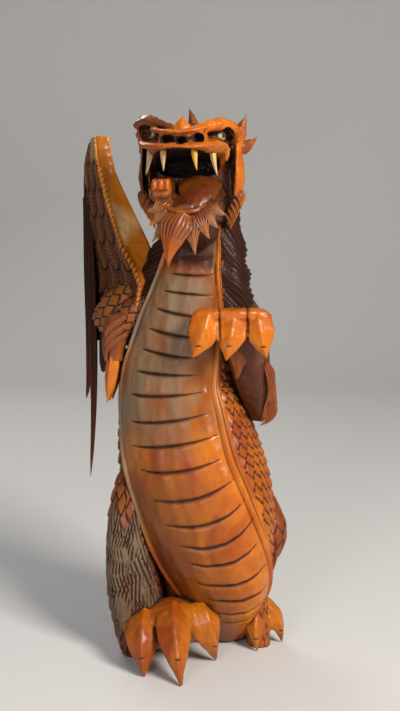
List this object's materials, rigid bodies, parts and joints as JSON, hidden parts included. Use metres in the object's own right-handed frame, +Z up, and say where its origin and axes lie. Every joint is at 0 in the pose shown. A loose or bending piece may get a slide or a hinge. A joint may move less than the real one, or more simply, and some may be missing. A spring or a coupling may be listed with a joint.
{
  "type": "wooden dragon carving",
  "caption": "Upright dragon carved from one log, jaws open, one wing raised, one paw lifted, standing on clawed feet and a curled tail.",
  "frame": {"origin": "on the ground, under the middle of the carving's bounding box", "axes": "+Z up; -Y is the way the head looks; +X is the dragon's left"},
  "size_m": [0.1959, 0.1999, 0.4995],
  "materials": {
    "stained_wood": "honey and orange stain, darker in the cuts, under glossy lacquer"
  },
  "bodies": {
    "root": {"dragon": "stained_wood"}
  },
  "joints": []
}
